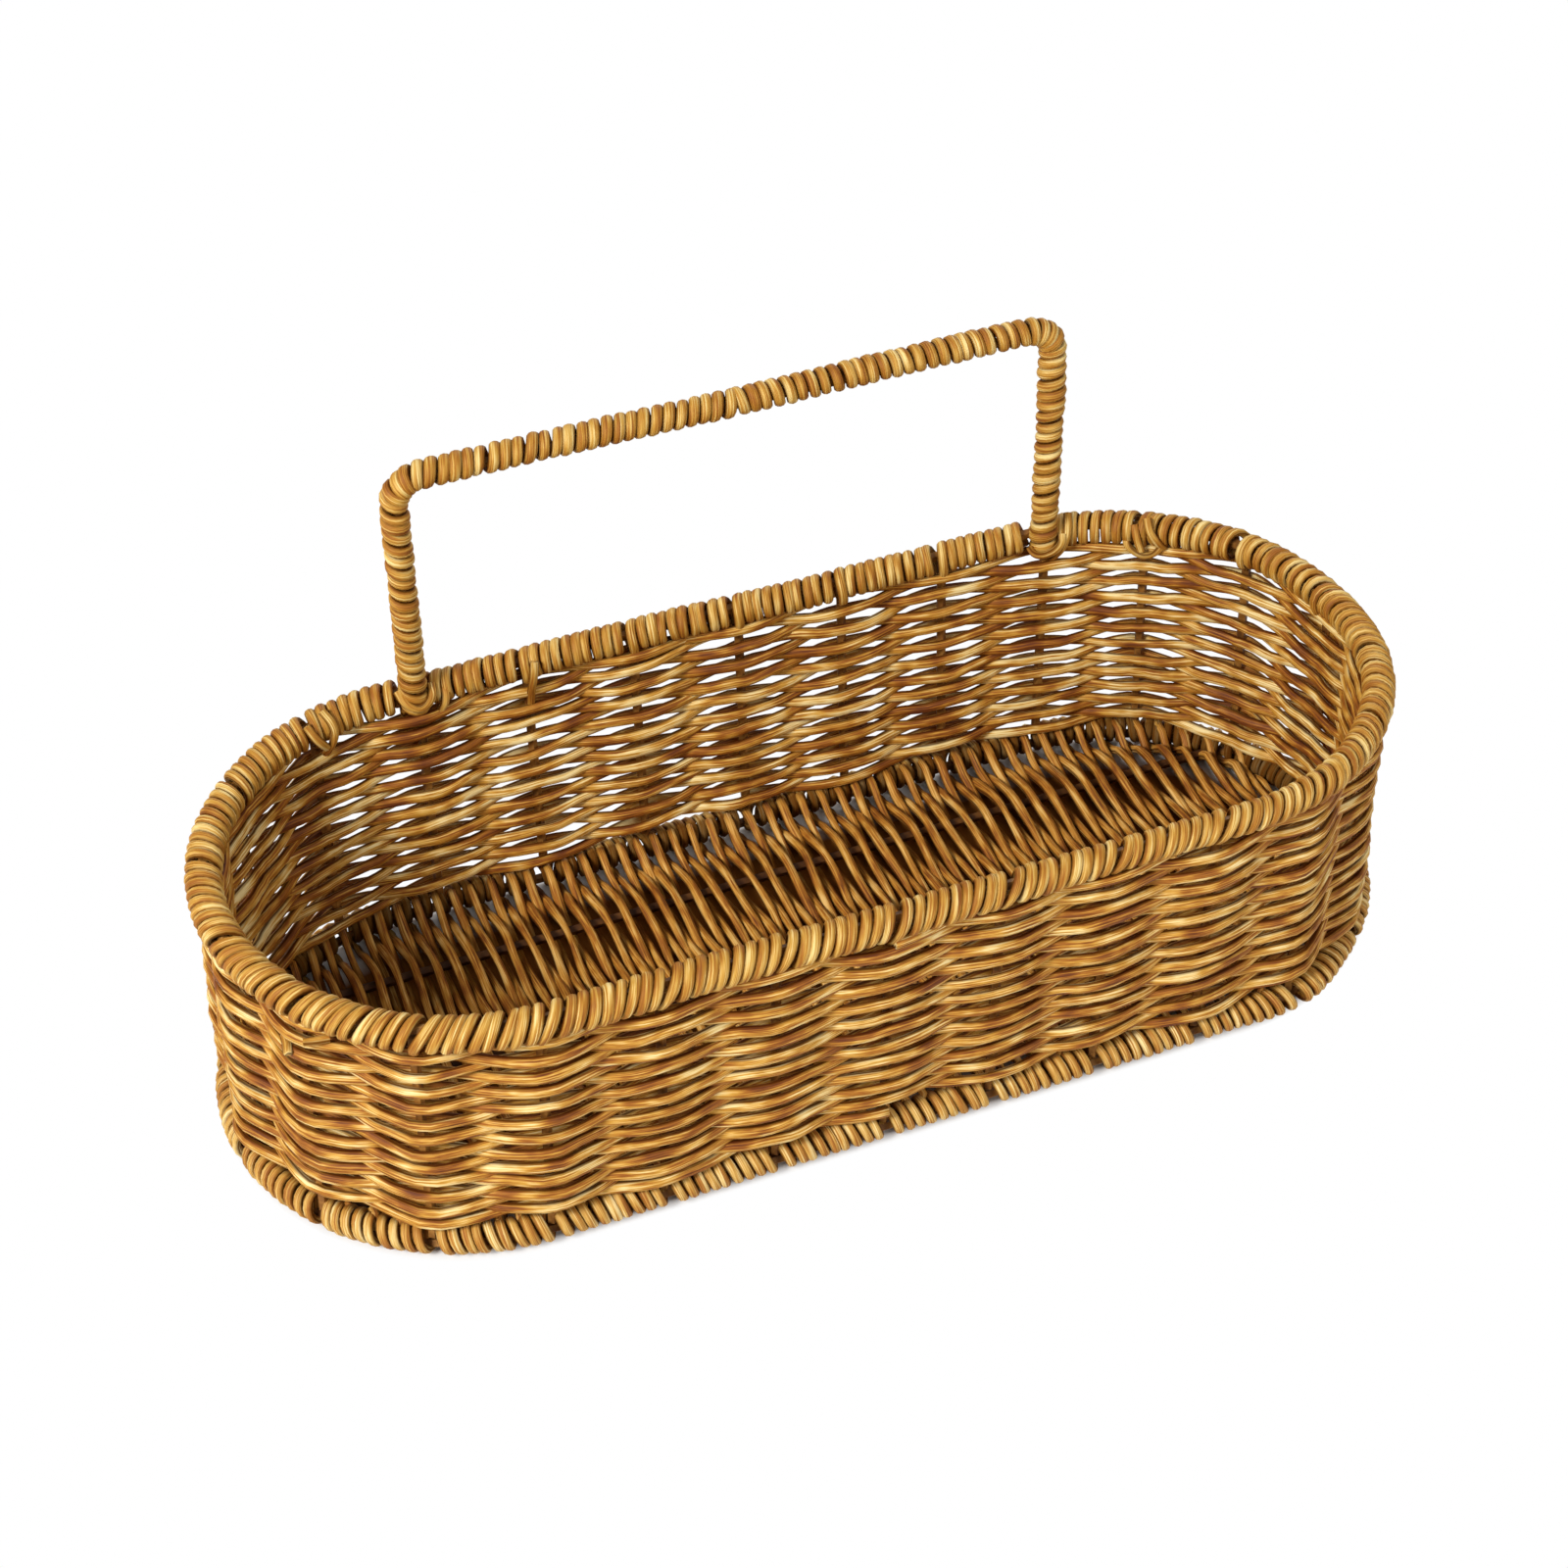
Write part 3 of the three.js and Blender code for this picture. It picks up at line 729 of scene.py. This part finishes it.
# %% Places of the strands
# Each piece has its stake and, for each of its strands, the places from one end to the other.
STRANDS = {
    "knot_right": (RIGHT_POST + 1, (
        ((-5.5, 3, -1), (-5, 5.6, -4.2), (-1, 6.2, -6.8), (3, 6.2, -6.4), (5.8, 5, -3.5), (6.2, 2, -1)),
        ((0.5, 3.5, 5.2), (1.5, 6.2, 2.2), (4.2, 6.4, -1.4), (6.2, 4.5, -4.4)),
        ((-3.2, 3.5, 2.5), (-2.2, 6, -0.6), (-0.4, 6.3, -5)))),
    "knot_left": (LEFT_POST - 1, (
        ((2.4, 2, 5), (3.6, 5.6, 1.5), (3, 6.3, -2.5), (1, 5.5, -6.5), (0, 3, -9.5)),
        ((-4, 3, 3.5), (-3, 5.8, 0), (-1, 6.2, -3), (1.2, 5, -6)))),
    "handle_foot_turns": (RIGHT_POST, (
        ((8.2, 1, 5.4), (7, 5, 2.4), (5.6, 6.6, -1.8), (3, 6, -6), (0, 4.4, -9)),
        ((5, 5.5, 1.5), (4.4, 7.4, -1), (0.5, 8, -3.4), (-4, 7, -4), (-4.8, 4, -2.6)))),
    "handle_foot_turns_left": (LEFT_POST, (
        ((-6, 3, 3), (-5, 6.6, 0.5), (-1, 8, -2), (3.4, 6.6, 0.5), (4, 3, 3)),
        ((8, 2.5, 1.5), (7.5, 5.6, -2), (5, 5.8, -6), (1, 4.5, -9), (-3, 2.5, -10.5)))),
    "stake_tail": (LEFT_POST + 1, (
        ((1.5, 4.5, 2.5), (0.8, 5.6, -2), (0, 4.6, -7), (0, 3.4, -12), (0, 1.5, -16)),)),
    "left_cut_ends": (18, (
        ((6, -1, -15), (3.5, -3, -15.5), (1.6, -5.2, -15.8)),
        ((-9, 0, -8.8), (-6.5, -2.8, -9), (-4.2, -4.7, -9.2)))),
}
print("pieces laid by hand:", len(STRANDS))

# %% [markdown]
# Soaked cane bends without a kink. Cutting the corners off a line of places, a few times over,
# gives such a bend and keeps the strand near its places. Its rounded face looks away from the
# rim's wire. The two knots stand for the frame's lashings, and the other strands for no node.

# %% Hand-laid strands
STRAND_WIDTH = 2.7 * MM
STRAND_THICKNESS = 2.1 * MM
LASHINGS = {"knot_right": "rim_lashing_right", "knot_left": "rim_lashing_left"}


def smooth(points):
    """Cuts the corners off a line of points, three times over."""
    for _ in range(3):
        cut = [points[0]]
        for before, after in zip(points, points[1:]):
            cut += [before.lerp(after, 0.25), before.lerp(after, 0.75)]
        points = cut + [points[-1]]
    return points


def strand_route(number, places):
    """A strand near one stake's top, its rounded face turned away from the rim's wire."""
    middle, out = stake_place(rim, number)
    along = out.cross(UP)
    route = []
    for point in smooth([middle + (along * a - out * b + UP * c) * MM for a, b, c in places]):
        away = point - middle
        route.append(Step(point, (away - along * along.dot(away)).normalized(), 1))
    return route


strands = {}
for name, (number, lines) in STRANDS.items():
    bm = bmesh.new()
    for places in lines:
        roll(bm, strand_route(number, places), STRAND_WIDTH, STRAND_THICKNESS, 8)
    nodes = [LASHINGS[name]] if name in LASHINGS else []
    strands[name] = finish_piece(name, bm, "lapping_cane", *nodes)

# %% [markdown]
# Materials are built from nodes. One function turns a written colour into the linear numbers
# that Blender works with, and one adds a node with its settings and links.

# %% Node helpers
def linear(written):
    """A colour written as sRGB hex, as linear red, green, blue and alpha."""
    parts = [int(written[i:i + 2], 16) / 255 for i in (1, 3, 5)]
    return [p / 12.92 if p <= 0.04045 else ((p + 0.055) / 1.055) ** 2.4 for p in parts] + [1.0]


def add(tree, kind, inputs=(), **settings):
    """Adds a node. inputs pairs a socket's name or number with a value or another node's socket."""
    made = tree.nodes.new(kind)
    for key, value in settings.items():
        setattr(made, key, value)
    for key, value in inputs:
        if isinstance(value, bpy.types.NodeSocket):
            tree.links.new(value, made.inputs[key])
        else:
            made.inputs[key].default_value = value
    return made


def set_ramp(ramp, *stops):
    """Gives a colour ramp its stops, each a position and a written colour."""
    elements = ramp.color_ramp.elements
    while len(elements) < len(stops):
        elements.new(1.0)
    for element, (position, colour) in zip(elements, stops):
        element.position = position
        element.color = linear(colour)


def new_material(name):
    """A material with an empty node tree, and the tree."""
    material = bpy.data.materials.new(name)
    material.use_nodes = True
    material.node_tree.nodes.clear()
    return material, material.node_tree


print("straw #cc9735 in linear numbers:", [round(part, 3) for part in linear("#cc9735")])

# %% [markdown]
# Painted shade darkens the low places of the base, where the cane lies in the dark under its
# neighbours, and the inner side of the base rim, in the shade of the wall. A map range on a height
# or a distance makes each of these soft-edged. The distance is taken from the line along the
# basket's middle, since the basket is an oval.

# %% Where painted shade falls
LOW, LOWEST = 5.5 * MM, MM  # heights between which the base cane's painted shade comes in


def from_middle(tree):
    """The distance from the line along the basket's middle, which is the same all round a rim."""
    place = add(tree, "ShaderNodeTexCoord").outputs["Object"]
    split = add(tree, "ShaderNodeSeparateXYZ", [("Vector", place)])
    across = add(tree, "ShaderNodeMath", [(0, split.outputs["X"])], operation="ABSOLUTE")
    beyond = add(tree, "ShaderNodeMath", [
        (0, across.outputs["Value"]), (1, base.straight / 2)], operation="SUBTRACT")
    end = add(tree, "ShaderNodeMath", [(0, beyond.outputs["Value"]), (1, 0.0)], operation="MAXIMUM")
    flat = add(tree, "ShaderNodeCombineXYZ", [("X", end.outputs["Value"]), ("Y", split.outputs["Y"])])
    away = add(tree, "ShaderNodeVectorMath", [(0, flat.outputs["Vector"])], operation="LENGTH")
    return away.outputs["Value"]


# Painted shade: the base cane is darkened near the table, where it lies in the dark.
def low_places_shade(tree):
    """More than half near the table, and 0 from a low height up."""
    place = add(tree, "ShaderNodeTexCoord").outputs["Object"]
    height = add(tree, "ShaderNodeSeparateXYZ", [("Vector", place)]).outputs["Z"]
    return add(tree, "ShaderNodeMapRange", [
        ("Value", height), ("From Min", LOW), ("From Max", LOWEST), ("To Max", 0.65)]).outputs["Result"]


# Painted shade: the inner side of the base rim is darkened as if in the wall's shade.
def inner_side_shade(tree):
    """Nearly 1 on the inner side of the base rim, and 0 on its outer side."""
    return add(tree, "ShaderNodeMapRange", [
        ("Value", from_middle(tree)), ("From Min", base.radius + MM),
        ("From Max", base.radius - 1.5 * MM), ("To Max", 0.85)]).outputs["Result"]


# The darkening that this line reports is painted shade of the low places.
print(f"stain from {LOW / MM:.1f} mm above the table downward")

# %% [markdown]
# Rattan cane is the core of a climbing palm, cut round, smoked and varnished. Fibres run along
# it, its tone drifts from straw to toffee along each length, and a thin varnish gives it a soft
# shine. The fibres of real cane are about 0.2 mm wide. Here they are drawn about 0.4 mm wide, so
# that they show. The sides that touch the next cane or turn are darker, partly from stain that
# gathers there and partly from painted shade of the crevices, and the varnish is duller there.
# The UV map makes this easy: it knows how far along and how far round each place is.

# %% Varnished cane
FIBRE_LENGTH = 14 * MM
FIBRES_ROUND = 22
DRIFT_LENGTH = 17 * MM  # of one tone along a cane
TONE_STOPS = (0.38, 0.465, 0.53, 0.605)


def cane_finish(name, tones, stain_and_shade, spread, shaded=None):
    """Varnished cane. tones are four colours from dark to pale. stain_and_shade is the darker colour
    of the sides, for dark varnish that gathers there and for painted shade between canes. spread is
    how far it comes up from the sides, and shaded gives the places where painted shade also covers
    the crown."""
    material, tree = new_material(name)
    uv = add(tree, "ShaderNodeUVMap", uv_map="cane").outputs["UV"]
    fibre_map = add(tree, "ShaderNodeMapping", [
        ("Vector", uv), ("Scale", (1 / FIBRE_LENGTH, FIBRES_ROUND, 1))])
    fibres = add(tree, "ShaderNodeTexNoise", [
        ("Vector", fibre_map.outputs["Vector"]), ("Scale", 1.0), ("Detail", 3.0), ("Roughness", 0.6)])
    drift_map = add(tree, "ShaderNodeMapping", [
        ("Vector", uv), ("Scale", (1 / DRIFT_LENGTH, 1.2, 1))])
    drift = add(tree, "ShaderNodeTexNoise", [
        ("Vector", drift_map.outputs["Vector"]), ("Scale", 1.0), ("Detail", 2.5), ("Roughness", 0.55)])
    half = add(tree, "ShaderNodeMath", [(0, fibres.outputs["Fac"]), (1, 0.5)], operation="MULTIPLY")
    tone = add(tree, "ShaderNodeMath", [
        (0, drift.outputs["Fac"]), (1, 0.5), (2, half.outputs["Value"])], operation="MULTIPLY_ADD")
    ramp = add(tree, "ShaderNodeValToRGB", [("Fac", tone.outputs["Value"])])
    set_ramp(ramp, *zip(TONE_STOPS, tones))
    split = add(tree, "ShaderNodeSeparateXYZ", [("Vector", uv)])
    angle = add(tree, "ShaderNodeMath", [(0, split.outputs["Y"]), (1, 2 * math.pi)], operation="MULTIPLY")
    face = add(tree, "ShaderNodeMath", [(0, angle.outputs["Value"])], operation="COSINE")
    face = add(tree, "ShaderNodeMath", [(0, face.outputs["Value"])], operation="ABSOLUTE")
    # Darker sides: varnish that gathers there, and painted shade of the crevices between canes.
    dark = add(tree, "ShaderNodeMapRange", [
        ("Value", face.outputs["Value"]), ("From Min", spread), ("From Max", 0.1), ("To Max", 0.9)])
    if shaded:
        dark = add(tree, "ShaderNodeMath", [
            (0, dark.outputs["Result"]), (1, shaded(tree))], operation="MAXIMUM")
    stained_and_shaded = add(tree, "ShaderNodeMix", [
        (0, dark.outputs[0]), (6, ramp.outputs["Color"]), (7, linear(stain_and_shade))], data_type="RGBA")
    shine = add(tree, "ShaderNodeMapRange", [
        ("Value", fibres.outputs["Fac"]), ("From Min", 0.3), ("From Max", 0.7),
        ("To Min", 0.75), ("To Max", 0.58)])
    gloss = add(tree, "ShaderNodeMapRange", [
        ("Value", dark.outputs[0]), ("To Min", 0.38), ("To Max", 0.05)])
    bump = add(tree, "ShaderNodeBump", [
        ("Height", fibres.outputs["Fac"]), ("Strength", 0.5), ("Distance", 0.3 * MM)])
    dull = add(tree, "ShaderNodeMath", [
        (0, shine.outputs["Result"]), (1, dark.outputs[0])], operation="MAXIMUM")
    shader = add(tree, "ShaderNodeBsdfPrincipled", [
        ("Base Color", stained_and_shaded.outputs[2]), ("Roughness", dull.outputs["Value"]),
        ("Normal", bump.outputs["Normal"]), ("Specular IOR Level", gloss.outputs["Result"])])
    add(tree, "ShaderNodeOutputMaterial", [("Surface", shader.outputs["BSDF"])])
    return material


print(f"fibres of the base cane: {math.pi * BASE_CANE / FIBRES_ROUND / MM:.2f} mm wide")

# %% [markdown]
# Four finishes share that recipe. The wall's cane has the widest range of tones. The base cane is
# never as pale, and painted shade darkens its low places. The lapping is never as dark, but its
# darker sides of stain and painted shade come further up its turns, and on the base rim painted
# shade covers the inner side.

# %% Finishes of the canes
weaving_finish = cane_finish(
    "varnished_weaving_cane", ("#602a00", "#9a590a", "#cc9735", "#f1d999"), "#461c00", 0.58)
base_finish = cane_finish(
    "varnished_base_cane", ("#5a2b04", "#98590f", "#c08830", "#ddb267"), "#3c1c02", 0.5, low_places_shade)
lapping_finish = cane_finish(
    "varnished_lapping_cane", ("#804406", "#a66a16", "#c7973c", "#ebcf88"), "#542800", 0.8)
base_lapping_finish = cane_finish(
    "varnished_base_lapping", ("#874a0b", "#ab7023", "#cb9e49", "#edd394"), "#4a2400", 0.8,
    inner_side_shade)
base_cane.data.materials.append(base_finish)
base_lapping.data.materials.append(base_lapping_finish)
for piece in wall_canes:
    piece.data.materials.append(weaving_finish)
for piece in (rim_lapping, handle_lapping, *strands.values()):
    piece.data.materials.append(lapping_finish)
finishes = (weaving_finish, base_finish, lapping_finish, base_lapping_finish)
print("finishes:", [finish.name for finish in finishes])

# %% [markdown]
# The frame is iron wire, painted brown to go with the cane. Little of it shows. The paint is
# thin, so it is slightly uneven, with a dull shine. The base's ribs are darker, like all that lies
# low inside the basket.

# %% Painted wire
PAINT_PATCH = 4 * MM


def wire_finish(name, *tones):
    """Thin paint on iron. tones are three colours from dark to pale."""
    material, tree = new_material(name)
    place = add(tree, "ShaderNodeTexCoord").outputs["Object"]
    patches = add(tree, "ShaderNodeTexNoise", [
        ("Vector", place), ("Scale", 1 / PAINT_PATCH), ("Detail", 4.0)])
    ramp = add(tree, "ShaderNodeValToRGB", [("Fac", patches.outputs["Fac"])])
    set_ramp(ramp, *zip((0.35, 0.52, 0.68), tones))
    bump = add(tree, "ShaderNodeBump", [
        ("Height", patches.outputs["Fac"]), ("Strength", 0.2), ("Distance", 0.1 * MM)])
    shader = add(tree, "ShaderNodeBsdfPrincipled", [
        ("Base Color", ramp.outputs["Color"]), ("Roughness", 0.6), ("Specular IOR Level", 0.3),
        ("Normal", bump.outputs["Normal"])])
    add(tree, "ShaderNodeOutputMaterial", [("Surface", shader.outputs["BSDF"])])
    return material


stake_paint = wire_finish("brown_painted_iron", "#5e3812", "#8a5a22", "#ac7a38")
rib_paint = wire_finish("dark_painted_iron", "#3a1c04", "#54300c", "#6e4417")
for name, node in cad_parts.items():
    node.data.materials.clear()
    node.data.materials.append(rib_paint if "rib" in name else stake_paint)
print("painted nodes:", len(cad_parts))

# %% [markdown]
# The basket stands on a white table in soft light. Away from the basket the table is plain white
# to the camera. Under the basket it is an ordinary surface that keeps the basket's shadow. Deep
# under the base its paint goes dark brown: painted shade, darker than the shadow that falls there.

# %% Table
SHADOW_EDGE = 4 * MM  # how far round the basket the table goes over from paint to plain white
DEEP_START, DEEP_FULL = 9 * MM, 15 * MM  # how far inside the base rim the painted shade comes in
TABLE_HALF = 3
bm = bmesh.new()
bmesh.ops.create_grid(bm, x_segments=1, y_segments=1, size=TABLE_HALF)
mesh = bpy.data.meshes.new("table")
bm.to_mesh(mesh)
bm.free()
table = bpy.data.objects.new("table", mesh)
bpy.context.scene.collection.objects.link(table)

table_finish, tree = new_material("white_table")
away = from_middle(tree)
clear = add(tree, "ShaderNodeMapRange", [
    ("Value", away), ("From Min", base.radius), ("From Max", base.radius + SHADOW_EDGE)])
ray = add(tree, "ShaderNodeLightPath")
seen = add(tree, "ShaderNodeMath", [
    (0, ray.outputs["Is Camera Ray"]), (1, ray.outputs["Is Glossy Ray"])], operation="MAXIMUM")
seen = add(tree, "ShaderNodeMath", [
    (0, seen.outputs["Value"]), (1, ray.outputs["Is Transmission Ray"])], operation="MAXIMUM")
white = add(tree, "ShaderNodeMath", [
    (0, seen.outputs["Value"]), (1, clear.outputs["Result"])], operation="MULTIPLY")
# Painted shade: deep under the base the table's paint goes dark brown.
shade_under_base = add(tree, "ShaderNodeMapRange", [
    ("Value", away), ("From Min", base.radius - DEEP_START), ("From Max", base.radius - DEEP_FULL)])
shade_tint = add(tree, "ShaderNodeMix", [
    (0, shade_under_base.outputs["Result"]), (6, linear("#e9e7e4")), (7, linear("#8a5522"))], data_type="RGBA")
paint = add(tree, "ShaderNodeBsdfDiffuse", [("Color", shade_tint.outputs[2])])
glow = add(tree, "ShaderNodeEmission", [("Color", (1, 1, 1, 1)), ("Strength", 1.0)])
both = add(tree, "ShaderNodeMixShader", [
    (0, white.outputs["Value"]), (1, paint.outputs["BSDF"]), (2, glow.outputs["Emission"])])
add(tree, "ShaderNodeOutputMaterial", [("Surface", both.outputs["Shader"])])
table.data.materials.append(table_finish)
print("table:", 2 * TABLE_HALF, "m wide")

# %% [markdown]
# A soft lamp stands to the left, above and a little in front. Two larger and much weaker ones
# stand to the right, in front and behind. A pale room fills the rest.

# %% Light
ROOM_LIGHT = 0.3


def soft_lamp(name, at, size, power):
    """A square lamp that looks at the basket."""
    light = bpy.data.lights.new(name, "AREA")
    light.size = size
    light.energy = power
    lamp = bpy.data.objects.new(name, light)
    lamp.location = at
    lamp.rotation_euler = (CAMERA_AIM - Vector(at)).to_track_quat("-Z", "Y").to_euler()
    bpy.context.scene.collection.objects.link(lamp)


soft_lamp("left_lamp", (-1.35, -0.6, 1.25), 0.5, 37)
soft_lamp("front_lamp", (0.7, -1.2, 0.8), 0.7, 7)
soft_lamp("back_lamp", (0.7, 1.2, 0.8), 0.7, 8)

world = bpy.data.worlds.new("pale_room")
bpy.context.scene.world = world
world.use_nodes = True
tree = world.node_tree
tree.nodes.clear()
ray = add(tree, "ShaderNodeLightPath")
seen = add(tree, "ShaderNodeMath", [
    (0, ray.outputs["Is Camera Ray"]), (1, ray.outputs["Is Transmission Ray"])], operation="MAXIMUM")
room = add(tree, "ShaderNodeBackground", [("Color", (1, 1, 1, 1)), ("Strength", ROOM_LIGHT)])
white = add(tree, "ShaderNodeBackground", [("Color", (1, 1, 1, 1)), ("Strength", 1.0)])
both = add(tree, "ShaderNodeMixShader", [
    (0, seen.outputs["Value"]), (1, room.outputs["Background"]), (2, white.outputs["Background"])])
add(tree, "ShaderNodeOutputWorld", [("Surface", both.outputs["Shader"])])
bpy.context.scene.view_settings.view_transform = "Standard"
print("lamps:", len(bpy.data.lights))
